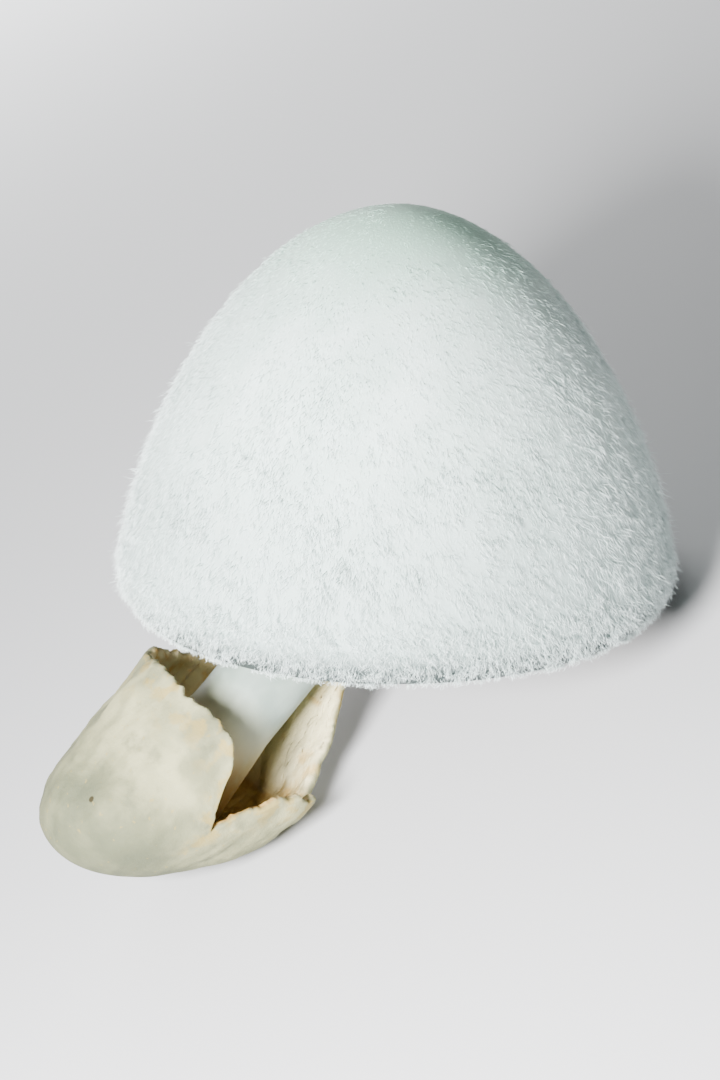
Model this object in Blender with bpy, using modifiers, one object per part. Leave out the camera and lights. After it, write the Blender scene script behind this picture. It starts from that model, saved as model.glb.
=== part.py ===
"""A silky rosegill, picked with its volva and laid down: it rests on the side of the volva and on the
margin of the bell-shaped cap. The origin is the flat on the volva, +Z is up and +X points to the cap."""

import math
import random

import bmesh
import bpy
from mathutils import Matrix, Vector, noise

MM = 0.001
COLLECTION = "silky_rosegill"
MERGE = 0.001 * MM
GAP = 0.3 * MM
SHARP_ANGLE = math.radians(50.0)
HALVINGS = 40
random.seed(7)

# Cap: a bell, measured from the plane of its margin up its own axis
CAP_RADIUS = 34.2 * MM
CAP_HEIGHT = 49.8 * MM
CAP_WIDEST = 5.0 * MM
CAP_SHOULDER = 1.47
CAP_ROUNDNESS = 1.94
MARGIN_FROM = 0.82
MARGIN_INSET = 3.4 * MM
FLESH_AT_DISC = 7.0 * MM
FLESH_AT_MARGIN = 1.5 * MM
FLESH_TAPER = 1.3
DISC_RADIUS = 6.8 * MM
CAP_STEPS = 56
CAP_ROWS = 18
SLOPE_STEP = 0.004

# Gills: three lengths of blade on a thin bed under the flesh, free of the stem
FULL_GILLS = 32
BLADE = 0.64 * MM
BED = 1.1 * MM
BLADE_SINK = 0.6
GILL_DEPTH = 8.6 * MM
GILL_SKEW = 0.85
GILL_FULLNESS = 0.8
GILL_SCATTER = 0.08
FULL_START, FULL_STATIONS = 9.0 * MM, 8
MIDDLE_START, MIDDLE_STATIONS = 17.0 * MM, 6
SHORT_START, SHORT_STATIONS = 25.5 * MM, 4
GILL_END = 30.0 * MM
GILL_LIMIT = 0.80
BED_PAST_START = 0.02
BED_PAST_END = 0.012
BED_STEPS = 40
BED_ROWS = 5

# Stem: down the axis of the cap, then bent towards the volva
STEM_RADIUS = 5.5 * MM
STEM_TOP_RADIUS = 5.9 * MM
BULB_RADIUS = 7.0 * MM
STEM_BEND = math.radians(45.2)
BEND_RADIUS = 30.0 * MM
BEND_CORNER = 10.8 * MM
CORNER_TO_FOOT = 56.2 * MM
FOOT_SLANT = 10.0 * MM
FOOT_ROUNDING = 3.0 * MM
FOOT_TURNS = (0.5, 0.85, 1.1)
BULB_LENGTH = 24.0 * MM
STEM_SIDES = 18
TOP_STEPS = 5
BEND_STEPS = 8
FOOT_STEPS = 9

# Volva: a torn sac round the foot of the stem, measured along the line of the stem
SAC_RADIUS = 13.7 * MM
SAC_BOWL = 15.0 * MM
SAC_SINK = 0.5 * MM
SAC_OFFSET = 0.6 * MM
SAC_SKEW = 0.58
SAC_SKEW_SIDE = math.radians(162.0)
SAC_WALL = 1.8 * MM
SAC_EDGE = 1.1 * MM
SAC_THINS_OVER = 9.0 * MM
SAC_DENTS = 0.7 * MM
SAC_DENT_SIZE = 8.0 * MM
SAC_STEPS = 72
SAC_ROWS = 13
LOWEST_EDGE = 0.3
HIGHEST_EDGE = 4.0

# Torn edge of the sac: the angle round the stem, in degrees, and the height above the foot
TORN_EDGE = [
    (0, 39.0), (30, 40.0), (57, 35.0), (83, 30.5), (105, 27.0), (130, 24.8), (158, 23.0), (183, 23.0),
    (215, 21.8), (231, 22.2), (243, 21.2), (252, 18.0), (260, 13.0), (266, 11.4), (273, 15.3),
    (286, 19.8), (302, 21.8), (314, 22.0), (322, 20.2), (330, 24.0), (340, 28.5), (350, 34.0),
]
TEAR_NOISE = 0.8 * MM
TEAR_PITCH = 9.0

# Flap and lobe: the low part of the torn edge is bent outwards, the tall part leans in to the stem
FLAP_MIDDLE = math.radians(306.0)
FLAP_SPREAD = math.radians(18.0)
FLAP_FROM = 9.0 * MM
FLAP_FLARE = 0.06
LOBE_MIDDLE = math.radians(12.0)
LOBE_SPREAD = math.radians(62.0)
LOBE_FROM = 19.0 * MM
LOBE_LEAN = 0.30

# Pose: how far the axis of the cap leans from upright, and where the middle of its margin's plane is
CAP_TILT = math.radians(28.3)
CAP_PLACE = Vector((29.9, -1.5, 14.6)) * MM
FLOOR_SIZE = 300.0 * MM

# Finishes: the colour and how rough it is
WHITE_FLESH = (0.80, 0.82, 0.76), 0.75
GILL_PINK = (0.86, 0.74, 0.68), 0.7
STEM_WHITE = (0.82, 0.84, 0.80), 0.6
VOLVA_CREAM = (0.70, 0.68, 0.54), 0.8


def clear_scene():
    for item in list(bpy.data.objects):
        bpy.data.objects.remove(item, do_unlink=True)


def material(name, finish):
    colour, roughness = finish
    made = bpy.data.materials.new(name)
    made.use_nodes = True
    shader = made.node_tree.nodes["Principled BSDF"]
    shader.inputs["Base Color"].default_value = (*colour, 1.0)
    shader.inputs["Roughness"].default_value = roughness
    shader.inputs["Metallic"].default_value = 0.0
    return made


def add_object(name, mesh, group):
    item = bpy.data.objects.new(name, mesh)
    group.objects.link(item)
    return item


def turned(name, outline, steps, group):
    """A profile at +X, from (radius, height) pairs, turned about Z by a Screw modifier."""
    mesh = bpy.data.meshes.new(name)
    points = [(radius, 0.0, height) for radius, height in outline]
    mesh.from_pydata(points, [(i, i + 1) for i in range(len(points) - 1)], [])
    item = add_object(name, mesh, group)
    screw = item.modifiers.new("turn", "SCREW")
    screw.axis = "Z"
    screw.steps = steps
    screw.render_steps = steps
    screw.use_merge_vertices = True
    screw.merge_threshold = MERGE
    screw.use_smooth_shade = True
    return item


def baked(item, name, group):
    """The evaluated mesh of an object, welded, as a new object in its place."""
    evaluated = item.evaluated_get(bpy.context.evaluated_depsgraph_get())
    mesh = bpy.data.meshes.new_from_object(evaluated)
    mesh.name = name
    work = bmesh.new()
    work.from_mesh(mesh)
    bmesh.ops.remove_doubles(work, verts=work.verts, dist=MERGE)
    bmesh.ops.recalc_face_normals(work, faces=work.faces)
    work.to_mesh(mesh)
    work.free()
    mesh.shade_smooth()
    mesh.set_sharp_from_angle(angle=SHARP_ANGLE)
    place = item.matrix_world.copy()
    bpy.data.objects.remove(item, do_unlink=True)
    result = add_object(name, mesh, group)
    result.matrix_world = place
    return result


def cap_outer(share):
    """A point of the bell's outside: share 0 is the top and share 1 the tip of the margin."""
    if share <= MARGIN_FROM:
        rise = math.cos(share / MARGIN_FROM * math.pi / 2)
        radius = CAP_RADIUS * (1 - rise ** CAP_SHOULDER) ** (1 / CAP_ROUNDNESS)
        return radius, CAP_WIDEST + rise * (CAP_HEIGHT - CAP_WIDEST)
    turn = (share - MARGIN_FROM) / (1 - MARGIN_FROM) * math.pi / 2
    radius = CAP_RADIUS - MARGIN_INSET * (1 - math.cos(turn))
    return radius, CAP_WIDEST * (1 - math.sin(turn))


def cap_under(share, depth):
    """The point that lies a depth under the outside of the bell, square to it."""
    before = Vector(cap_outer(max(share - SLOPE_STEP, 0.0)))
    after = Vector(cap_outer(min(share + SLOPE_STEP, 1.0)))
    along = (after - before).normalized()
    return Vector(cap_outer(share)) + depth * Vector((along.y, -along.x))


def flesh(share):
    """Thickness of the cap's flesh, thick at the disc and thin at the margin."""
    return FLESH_AT_MARGIN + (FLESH_AT_DISC - FLESH_AT_MARGIN) * (1 - share) ** FLESH_TAPER


def gill_depth(share, first, last):
    """Depth of a blade under the bed, rounded off at both of its ends."""
    along = min(max((share - first) / (last - first), 0.0), 1.0)
    return GILL_DEPTH * math.sin(math.pi * along ** GILL_SKEW) ** GILL_FULLNESS


def share_at(radius):
    """The share of the bell at which the underside of the bed has this radius."""
    low, high = 0.0, GILL_LIMIT
    for _ in range(HALVINGS):
        middle = (low + high) / 2
        if cap_under(middle, flesh(middle) + GAP + BED).x < radius:
            low = middle
        else:
            high = middle
    return high


def make_cap(group):
    shares = [i / CAP_ROWS for i in range(CAP_ROWS + 1)]
    disc_height = cap_under(share_at(DISC_RADIUS), FLESH_AT_DISC).y
    outline = [cap_outer(share) for share in shares]
    under = [tuple(cap_under(share, flesh(share))) for share in reversed(shares[:-1:2])]
    tip = cap_outer(1.0)
    half = FLESH_AT_MARGIN / 2
    lip = [(tip[0] - half * math.sin(turn), tip[1] + half - half * math.cos(turn))
           for turn in (math.pi / 4, math.pi / 2, 3 * math.pi / 4)]
    inside = [(tip[0], tip[1] + FLESH_AT_MARGIN)] + [point for point in under if point[0] > DISC_RADIUS]
    outline += lip + inside + [(DISC_RADIUS, disc_height), (0.0, disc_height)]
    cap = turned("cap", outline, CAP_STEPS, group)
    cap.data.materials.append(material("white_flesh", WHITE_FLESH))
    return cap, disc_height


def blade_mesh(name, start_radius, stations):
    """One gill as a flat outline with its upper edge sunk in the bed, extruded to its thickness."""
    first = share_at(start_radius)
    last = share_at(GILL_END)
    shares = [first + (last - first) * i / (stations - 1) for i in range(stations)]
    upper = [cap_under(share, flesh(share) + GAP + BED * (1 - BLADE_SINK)) for share in shares]
    lower = [cap_under(share, flesh(share) + GAP + BED + gill_depth(share, first, last))
             for share in reversed(shares[1:-1])]
    outline = upper + lower
    curve = bpy.data.curves.new(name, "CURVE")
    curve.dimensions = "2D"
    curve.fill_mode = "BOTH"
    curve.extrude = BLADE / 2
    spline = curve.splines.new("POLY")
    spline.points.add(len(outline) - 1)
    for point, place in zip(spline.points, outline):
        point.co = (place.x, place.y, 0.0, 1.0)
    spline.use_cyclic_u = True
    item = bpy.data.objects.new(name, curve)
    bpy.context.scene.collection.objects.link(item)
    solid = baked(item, name, bpy.context.scene.collection)
    mesh = solid.data
    bpy.data.objects.remove(solid, do_unlink=True)
    return mesh


def make_gills(group):
    first = share_at(FULL_START) - BED_PAST_START
    last = share_at(GILL_END) + BED_PAST_END
    shares = [first + (last - first) * i / BED_ROWS for i in range(BED_ROWS + 1)]
    upper = [tuple(cap_under(share, flesh(share) + GAP)) for share in shares]
    lower = [tuple(cap_under(share, flesh(share) + GAP + BED)) for share in reversed(shares)]
    bed = turned("gill_bed", upper + lower + upper[:1], BED_STEPS, group)
    bed = baked(bed, "gills", group)

    blades = bpy.data.collections.new("gill_blades")
    bpy.context.scene.collection.children.link(blades)
    full = blade_mesh("full_gill", FULL_START, FULL_STATIONS)
    middle = blade_mesh("middle_gill", MIDDLE_START, MIDDLE_STATIONS)
    short = blade_mesh("short_gill", SHORT_START, SHORT_STATIONS)
    order = [full, short, middle, short]
    for index in range(FULL_GILLS * len(order)):
        angle = math.tau * (index + random.uniform(-GILL_SCATTER, GILL_SCATTER)) / (FULL_GILLS * len(order))
        blade = bpy.data.objects.new(f"blade_{index}", order[index % len(order)])
        blade.rotation_euler = (math.pi / 2, 0.0, angle)
        blades.objects.link(blade)
    join = bed.modifiers.new("blades", "BOOLEAN")
    join.operation = "UNION"
    join.operand_type = "COLLECTION"
    join.collection = blades
    join.solver = "MANIFOLD"
    bpy.context.view_layer.update()
    gills = baked(bed, "gills", group)
    for blade in list(blades.objects):
        bpy.data.objects.remove(blade, do_unlink=True)
    bpy.data.collections.remove(blades)
    gills.data.materials.clear()
    gills.data.materials.append(material("gill_pink", GILL_PINK))
    return gills


def stem_path(top):
    """The stem's centre line in the frame of the cap, from its top to its foot, with its radius."""
    reach = BEND_RADIUS * math.tan(STEM_BEND / 2)
    direction = Vector((-math.sin(STEM_BEND), 0.0, -math.cos(STEM_BEND)))
    corner = Vector((0.0, 0.0, BEND_CORNER))
    path = []
    for i in range(TOP_STEPS):
        height = top + (BEND_CORNER + reach - top) * i / TOP_STEPS
        blend = (1 - i / TOP_STEPS) ** 2
        path.append((Vector((0.0, 0.0, height)), STEM_RADIUS + (STEM_TOP_RADIUS - STEM_RADIUS) * blend))
    for i in range(BEND_STEPS):
        turn = STEM_BEND * i / BEND_STEPS
        across = BEND_RADIUS * (1 - math.cos(turn))
        down = BEND_CORNER + reach - BEND_RADIUS * math.sin(turn)
        path.append((Vector((-across, 0.0, down)), STEM_RADIUS))
    length = CORNER_TO_FOOT - reach
    for i in range(FOOT_STEPS + 1):
        along = (length - FOOT_ROUNDING) * i / FOOT_STEPS
        swell = max(0.0, 1 - (length - along) / BULB_LENGTH)
        radius = STEM_RADIUS + (BULB_RADIUS - STEM_RADIUS) * math.sin(math.pi / 2 * swell)
        path.append((corner + direction * (reach + along), radius))
    for turn in FOOT_TURNS:
        place = corner + direction * (reach + length - FOOT_ROUNDING * (1 - math.sin(turn)))
        path.append((place, BULB_RADIUS * math.cos(turn)))
    return path


def sac_point(angle, share):
    """Radius and height on the sac's outside: share 0 is the foot, 1 the rim of the bowl."""
    turn = min(share, 1.0) * math.pi / 2
    radius = SAC_RADIUS * math.sin(turn)
    height = SAC_BOWL * (1 - math.cos(turn)) - SAC_SINK + max(share - 1.0, 0.0) * SAC_BOWL
    return radius, height - SAC_SKEW * radius * math.cos(angle - SAC_SKEW_SIDE)


def edge_share(angle):
    """The share at which the sac's outside reaches its torn edge."""
    torn = torn_height(angle)
    low, high = LOWEST_EDGE, HIGHEST_EDGE
    for _ in range(HALVINGS):
        middle = (low + high) / 2
        if sac_point(angle, middle)[1] < torn:
            low = middle
        else:
            high = middle
    return high


def torn_height(angle):
    """Height of the sac's torn edge at an angle round the stem."""
    degrees = math.degrees(angle) % 360
    ring = TORN_EDGE + [(360, TORN_EDGE[0][1])]
    for (low, low_height), (high, high_height) in zip(ring, ring[1:]):
        if low <= degrees <= high:
            part = (degrees - low) / (high - low)
            height = low_height + (high_height - low_height) * part
            break
    ragged = noise.noise(Vector((math.cos(angle), math.sin(angle), 0.0)) * TEAR_PITCH)
    return height * MM + TEAR_NOISE * ragged


def sac_surface(name, group):
    """The outside of the sac as an open cup: a turned bowl and wall, then shaped to the torn edge."""
    outline = [(row * MM, row * MM) for row in range(SAC_ROWS, -1, -1)]
    cup = baked(turned(name, outline, SAC_STEPS, group), name, group)
    for vertex in cup.data.vertices:
        angle = math.atan2(vertex.co.y, vertex.co.x)
        share = edge_share(angle) * round(vertex.co.z / MM) / SAC_ROWS
        radius, height = sac_point(angle, share)
        around = Vector((math.cos(angle), math.sin(angle), 0.0))
        place = around * radius + Vector((0.0, 0.0, height))
        radius += SAC_DENTS * noise.noise(place / SAC_DENT_SIZE) * radius / SAC_RADIUS
        off_flap = math.remainder(angle - FLAP_MIDDLE, math.tau) / FLAP_SPREAD
        off_lobe = math.remainder(angle - LOBE_MIDDLE, math.tau) / LOBE_SPREAD
        radius += FLAP_FLARE * max(0.0, height - FLAP_FROM) * math.exp(-off_flap ** 2)
        radius -= LOBE_LEAN * max(0.0, height - LOBE_FROM) * math.exp(-off_lobe ** 2)
        vertex.co = around * radius + Vector((0.0, 0.0, height))
    return cup


def wall_modifier(cup, wall, edge):
    """Solidify that thins towards the torn edge, by a vertex group."""
    group = cup.vertex_groups.new(name="wall")
    for vertex in cup.data.vertices:
        angle = math.atan2(vertex.co.y, vertex.co.x)
        below = max(0.0, torn_height(angle) - vertex.co.z)
        group.add([vertex.index], min(1.0, below / SAC_THINS_OVER), "REPLACE")
    solid = cup.modifiers.new("wall", "SOLIDIFY")
    solid.thickness = wall
    solid.offset = -1.0
    solid.vertex_group = group.name
    solid.thickness_vertex_group = edge / wall


def cut(item, cutter, name):
    boolean = item.modifiers.new(name, "BOOLEAN")
    boolean.operation = "DIFFERENCE"
    boolean.object = cutter
    boolean.solver = "EXACT"


def make_stem(disc_height, wall_cutter, sac_place, group):
    """A bent curve with a swollen foot that is slanted like the bowl it stands in."""
    curve = bpy.data.curves.new("stem", "CURVE")
    curve.dimensions = "3D"
    curve.bevel_depth = 1.0
    curve.bevel_resolution = STEM_SIDES // 2 - 2
    curve.use_fill_caps = True
    path = stem_path(disc_height - GAP)
    spline = curve.splines.new("POLY")
    spline.points.add(len(path) - 1)
    for point, (place, radius) in zip(spline.points, path):
        point.co = (*place, 1.0)
        point.radius = radius
    rod = add_object("stem", curve, group)
    rod.location = CAP_PLACE
    rod.rotation_euler = (0.0, CAP_TILT, 0.0)
    bpy.context.view_layer.update()
    stem = baked(rod, "stem", group)
    to_sac = sac_place.inverted() @ stem.matrix_world
    for vertex in stem.data.vertices:
        place = to_sac @ vertex.co
        nearness = min(1.0, max(0.0, 1 - place.z / FOOT_SLANT))
        across = place.x * math.cos(SAC_SKEW_SIDE) + place.y * math.sin(SAC_SKEW_SIDE)
        place.z -= nearness * SAC_SKEW * across
        vertex.co = to_sac.inverted() @ place
    cut(stem, wall_cutter, "seat_in_sac")
    stem.data.materials.append(material("stem_white", STEM_WHITE))


def make_volva(floor, sac_place, group):
    volva = sac_surface("volva", group)
    volva.matrix_world = sac_place
    wall_modifier(volva, SAC_WALL, SAC_EDGE)
    cut(volva, floor, "flat_on_floor")
    volva.data.materials.append(material("volva_cream", VOLVA_CREAM))


def hide_cutter(item):
    item.hide_render = True
    item.display_type = "WIRE"


def main():
    clear_scene()
    group = bpy.data.collections.new(COLLECTION)
    bpy.context.scene.collection.children.link(group)
    cutters = bpy.data.collections.new("cutters")
    bpy.context.scene.collection.children.link(cutters)

    bpy.ops.mesh.primitive_cube_add(size=FLOOR_SIZE, location=(0.0, 0.0, -FLOOR_SIZE / 2))
    floor = bpy.context.active_object
    floor.name = "floor_cutter"
    hide_cutter(floor)

    cap_place = Matrix.Translation(CAP_PLACE) @ Matrix.Rotation(CAP_TILT, 4, "Y")
    foot = Vector((-math.sin(STEM_BEND), 0.0, -math.cos(STEM_BEND))) * CORNER_TO_FOOT
    foot.z += BEND_CORNER
    sac_place = Matrix.Translation(cap_place @ foot) @ Matrix.Rotation(CAP_TILT + STEM_BEND, 4, "Y")
    sac_place = sac_place @ Matrix.Translation((SAC_OFFSET, 0.0, 0.0))

    cap, disc_height = make_cap(group)
    cap.matrix_world = cap_place
    cut(cap, floor, "flat_on_floor")
    gills = make_gills(group)
    gills.matrix_world = cap_place

    wall_cutter = sac_surface("sac_wall_cutter", cutters)
    wall_cutter.matrix_world = sac_place
    wall_modifier(wall_cutter, SAC_WALL + GAP, SAC_WALL + GAP)
    hide_cutter(wall_cutter)
    make_stem(disc_height, wall_cutter, sac_place, group)
    make_volva(floor, sac_place, group)


main()
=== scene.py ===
"""The looks of a picked silky rosegill that lies on the side of its volva and on the margin of its cap."""

import math

import bmesh
import bpy
import numpy as np
from mathutils import Matrix, Vector, noise


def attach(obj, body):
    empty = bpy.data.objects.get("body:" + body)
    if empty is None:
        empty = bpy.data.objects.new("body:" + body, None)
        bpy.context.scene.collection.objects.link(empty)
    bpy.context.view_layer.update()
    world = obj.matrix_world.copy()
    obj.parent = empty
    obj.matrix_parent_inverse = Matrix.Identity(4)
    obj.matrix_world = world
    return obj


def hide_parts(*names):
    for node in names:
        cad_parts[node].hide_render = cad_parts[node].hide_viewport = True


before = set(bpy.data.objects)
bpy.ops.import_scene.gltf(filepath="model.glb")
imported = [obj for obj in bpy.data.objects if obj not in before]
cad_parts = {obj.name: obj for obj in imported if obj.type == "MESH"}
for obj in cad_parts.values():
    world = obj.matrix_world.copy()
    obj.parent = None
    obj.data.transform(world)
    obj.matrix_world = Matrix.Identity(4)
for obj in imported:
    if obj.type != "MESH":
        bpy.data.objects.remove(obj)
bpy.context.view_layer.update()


# Volva
# The real volva is the torn skin of the egg that the mushroom grew in: a tough, felty cream sac, joined
# to the stem at its foot alone. Its mouth is a ragged tear, with a low flap bent outwards and a tall lobe
# that leans in to the stem. It is one thick sheet, laid out here as rings up the sac. Its pale lining is
# painted lighter still as painted light in the shaded hollow, and turns brown deep down as painted shade.
MM = 0.001
TINY = 1e-12
UP = np.array([0.0, 0.0, 1.0])
WELD = 0.002 * MM
CAP_TILT = math.radians(28.3)
STEM_BEND = math.radians(45.2)
BEND_CORNER = 10.8 * MM
CORNER_TO_FOOT = 56.2 * MM
CAP_PLACE = Vector((29.9, -1.5, 14.6)) * MM
cap_place = Matrix.Translation(CAP_PLACE) @ Matrix.Rotation(CAP_TILT, 4, "Y")
foot = Vector((-math.sin(STEM_BEND), 0.0, -math.cos(STEM_BEND))) * CORNER_TO_FOOT
foot.z += BEND_CORNER

SAC_RADIUS = 13.7 * MM
SAC_BOWL = 15.0 * MM
SAC_SINK = 0.5 * MM
SAC_OFFSET = 0.6 * MM
SAC_SKEW = 0.58
SAC_SKEW_SIDE = math.radians(162.0)
SAC_WALL = 1.8 * MM
SAC_EDGE = 1.25 * MM
SAC_THINS_OVER = 9.0 * MM
SAC_WALL_VARIES = 0.18
SAC_WALL_GRAIN = 2.5 * MM
SAC_EDGE_PINCH = 0.75
SAC_LIP_REACH = 0.5
SAC_DENTS = 0.7 * MM
SAC_DENT_SIZE = 8.0 * MM
SAC_RELIEF = [(0.38 * MM, 3.8 * MM), (0.13 * MM, 1.4 * MM), (0.05 * MM, 0.5 * MM)]
SAC_WRINKLES = [(0.34 * MM, 3.6, 14.0 * MM), (0.11 * MM, 8.0, 6.0 * MM)]
TORN_EDGE = [
    (0, 39.0), (30, 40.0), (57, 35.0), (83, 30.5), (105, 27.0), (130, 24.8), (158, 23.0), (183, 23.0),
    (215, 21.8), (231, 22.2), (243, 21.2), (252, 18.0), (260, 13.0), (266, 11.4), (273, 15.3),
    (286, 19.8), (302, 21.8), (314, 22.0), (322, 20.2), (330, 24.0), (340, 28.5), (350, 34.0),
]
TEAR_NOISE = 0.8 * MM
TEAR_PITCH = 9.0
TEAR_TEETH = [(0.22 * MM, 9.0), (0.10 * MM, 45.0), (0.14 * MM, 120.0)]
RELIEF_SHIFT = 1.0
WALL_SHIFT = 2.0
TEETH_SHIFT = 3.0
FLAP_MIDDLE = math.radians(306.0)
FLAP_SPREAD = math.radians(18.0)
FLAP_FROM = 9.0 * MM
FLAP_FLARE = 0.06
LOBE_MIDDLE = math.radians(12.0)
LOBE_SPREAD = math.radians(62.0)
LOBE_FROM = 19.0 * MM
LOBE_LEAN = 0.30
SAC_AROUND = 420
SAC_ROWS = 66
LOWEST_TEAR = 0.3
HIGHEST_TEAR = 4.0
HALVINGS = 30
sac_place = (Matrix.Translation(cap_place @ foot) @ Matrix.Rotation(CAP_TILT + STEM_BEND, 4, "Y")
             @ Matrix.Translation((SAC_OFFSET, 0.0, 0.0)))


def noise_at(points, size):
    """Smooth noise of about this grain, between -1 and 1, at each point of an array."""
    flat = (points / size).reshape(-1, 3)
    values = [noise.noise(Vector(point)) for point in flat.tolist()]
    return np.array(values).reshape(points.shape[:-1])


def placed(matrix, points):
    """Points of an array moved from a piece's own frame to the object's."""
    turn = np.array(matrix.to_3x3())
    return points @ turn.T + np.array(matrix.translation)


def round_axis(angle):
    """Unit directions away from the axis at each angle."""
    return np.stack([np.cos(angle), np.sin(angle), np.zeros_like(angle)], axis=-1)


def put_values(mesh, values):
    """Numbers on the points of a mesh, one array for each label."""
    for label, numbers in values.items():
        layer = mesh.attributes.new(label, "FLOAT", "POINT")
        layer.data.foreach_set("value", np.asarray(numbers, dtype=np.float32).ravel())


def linked(name, mesh):
    """An object of this mesh in the scene."""
    piece = bpy.data.objects.new(name, mesh)
    bpy.context.scene.collection.objects.link(piece)
    return piece


def ring_mesh(name, rings, values, matrix):
    """A smooth closed surface through rings of points, with a number on each point for each value."""
    rows, around = rings.shape[:2]
    points = placed(matrix, rings.reshape(-1, 3))
    points[:, 2] = np.maximum(points[:, 2], 0.0)
    index = np.arange(rows * around).reshape(rows, around)
    upper = index[:-1]
    lower = index[1:]
    quads = np.stack([upper, lower, np.roll(lower, -1, axis=1), np.roll(upper, -1, axis=1)], axis=-1)
    mesh = bpy.data.meshes.new(name)
    mesh.from_pydata(points.tolist(), [], quads.reshape(-1, 4).tolist())
    put_values(mesh, values)
    work = bmesh.new()
    work.from_mesh(mesh)
    bmesh.ops.remove_doubles(work, verts=work.verts, dist=WELD)
    bmesh.ops.recalc_face_normals(work, faces=work.faces)
    work.to_mesh(mesh)
    work.free()
    mesh.shade_smooth()
    return linked(name, mesh)


def torn_height(angle):
    """Height of the sac's ragged edge above its foot at each angle round the stem."""
    degrees = np.degrees(angle) % 360
    ring = np.array(TORN_EDGE + [(360, TORN_EDGE[0][1])])
    height = np.interp(degrees, ring[:, 0], ring[:, 1]) * MM
    around = round_axis(angle)
    height += TEAR_NOISE * noise_at(around, 1 / TEAR_PITCH)
    for depth, pitch in TEAR_TEETH:
        height += depth * noise_at(around + TEETH_SHIFT, 1 / pitch)
    return height


def sac_point(angle, share):
    """Radius and height on the sac's outside: share 0 is the foot, 1 the rim of the bowl."""
    turn = np.minimum(share, 1.0) * math.pi / 2
    radius = SAC_RADIUS * np.sin(turn)
    height = SAC_BOWL * (1 - np.cos(turn)) - SAC_SINK + np.maximum(share - 1.0, 0.0) * SAC_BOWL
    return radius, height - SAC_SKEW * radius * np.cos(angle - SAC_SKEW_SIDE)


def edge_share(angle, torn):
    """The share at which the sac's outside reaches the tear, found by halving."""
    low = np.full_like(angle, LOWEST_TEAR)
    high = np.full_like(angle, HIGHEST_TEAR)
    for _ in range(HALVINGS):
        middle = (low + high) / 2
        below = sac_point(angle, middle)[1] < torn
        low = np.where(below, middle, low)
        high = np.where(below, high, middle)
    return high


def angle_off(angle, middle):
    """Angle from a middle, between minus and plus half a turn."""
    return (angle - middle + math.pi) % math.tau - math.pi


def sac_rings():
    """The sheet's outside from the foot to the tear, its inside back to the foot, and their values."""
    angle = np.linspace(0.0, math.tau, SAC_AROUND, endpoint=False)
    torn = torn_height(angle)
    rows = np.linspace(0.0, 1.0, SAC_ROWS + 1)[:, None]
    radius, height = sac_point(angle, edge_share(angle, torn) * rows)
    around = round_axis(angle)
    place = around * radius[..., None] + UP * height[..., None]
    swell = radius / SAC_RADIUS
    grown = radius + SAC_DENTS * noise_at(place, SAC_DENT_SIZE) * swell
    for depth, size in SAC_RELIEF:
        grown += depth * noise_at(place + RELIEF_SHIFT, size) * swell
    furrows = np.zeros_like(height)
    for depth, pitch, length in SAC_WRINKLES:
        folds = noise_at(around * pitch + UP * (height / length)[..., None], 1.0)
        grown += depth * folds * swell
        furrows += depth * folds / MM
    at_flap = np.exp(-(angle_off(angle, FLAP_MIDDLE) / FLAP_SPREAD) ** 2)
    at_lobe = np.exp(-(angle_off(angle, LOBE_MIDDLE) / LOBE_SPREAD) ** 2)
    grown += FLAP_FLARE * np.maximum(0.0, height - FLAP_FROM) * at_flap
    grown -= LOBE_LEAN * np.maximum(0.0, height - LOBE_FROM) * at_lobe
    outside = around * grown[..., None] + UP * height[..., None]

    along = np.gradient(outside, axis=0)
    across = np.roll(outside, -1, axis=1) - np.roll(outside, 1, axis=1)
    normal = np.cross(across, along)
    normal /= np.linalg.norm(normal, axis=-1, keepdims=True) + TINY
    normal[0] = -UP
    below = torn - height
    wall = SAC_EDGE + (SAC_WALL - SAC_EDGE) * np.clip(below / SAC_THINS_OVER, 0.0, 1.0)
    wall *= 1 + SAC_WALL_VARIES * noise_at(outside + WALL_SHIFT, SAC_WALL_GRAIN)
    wall[-1] *= SAC_EDGE_PINCH
    inside = outside - normal * wall[..., None]
    lip = (outside[-1] + inside[-1]) / 2 + (outside[-1] - outside[-2]) * SAC_LIP_REACH
    rings = np.concatenate([outside, lip[None], inside[::-1]])
    edge = np.concatenate([below, np.zeros((1, SAC_AROUND)), below[::-1]])
    inner = np.concatenate([np.zeros_like(below), np.full((1, SAC_AROUND), 0.5), np.ones_like(below)])
    high = np.concatenate([height, torn[None], height[::-1]])
    folded = np.concatenate([furrows, furrows[-1:], furrows[::-1]])
    return rings, {"below_edge": edge / MM, "inside": inner, "height": high / MM, "fold": folded}


rings, values = sac_rings()
sac = ring_mesh("volva_sac", rings, values, sac_place)


def finish(name, roughness, specular):
    """An empty material with its shader, whose fixed values sit on the shader's own sockets."""
    material = bpy.data.materials.new(name)
    material.use_nodes = True
    shader = material.node_tree.nodes["Principled BSDF"]
    shader.inputs["Roughness"].default_value = roughness
    shader.inputs["Specular IOR Level"].default_value = specular
    return material, material.node_tree, shader


def node(tree, kind, links=None, **settings):
    """A node with its settings, and with its inputs linked or set by name or number."""
    made = tree.nodes.new(kind)
    for label, value in settings.items():
        setattr(made, label, value)
    for socket, source in (links or {}).items():
        if isinstance(source, bpy.types.NodeSocket):
            tree.links.new(source, made.inputs[socket])
        else:
            made.inputs[socket].default_value = source
    return made


def place_in_object(tree):
    """The point on the object as the texture's place, in the object's own frame."""
    return node(tree, "ShaderNodeTexCoord").outputs["Object"]


def grain(tree, size, detail=3.0, roughness=0.55):
    """Noise whose grain is about this size in metres."""
    links = {"Vector": place_in_object(tree), "Scale": 1 / size, "Detail": detail, "Roughness": roughness}
    return node(tree, "ShaderNodeTexNoise", links).outputs["Fac"]


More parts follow.
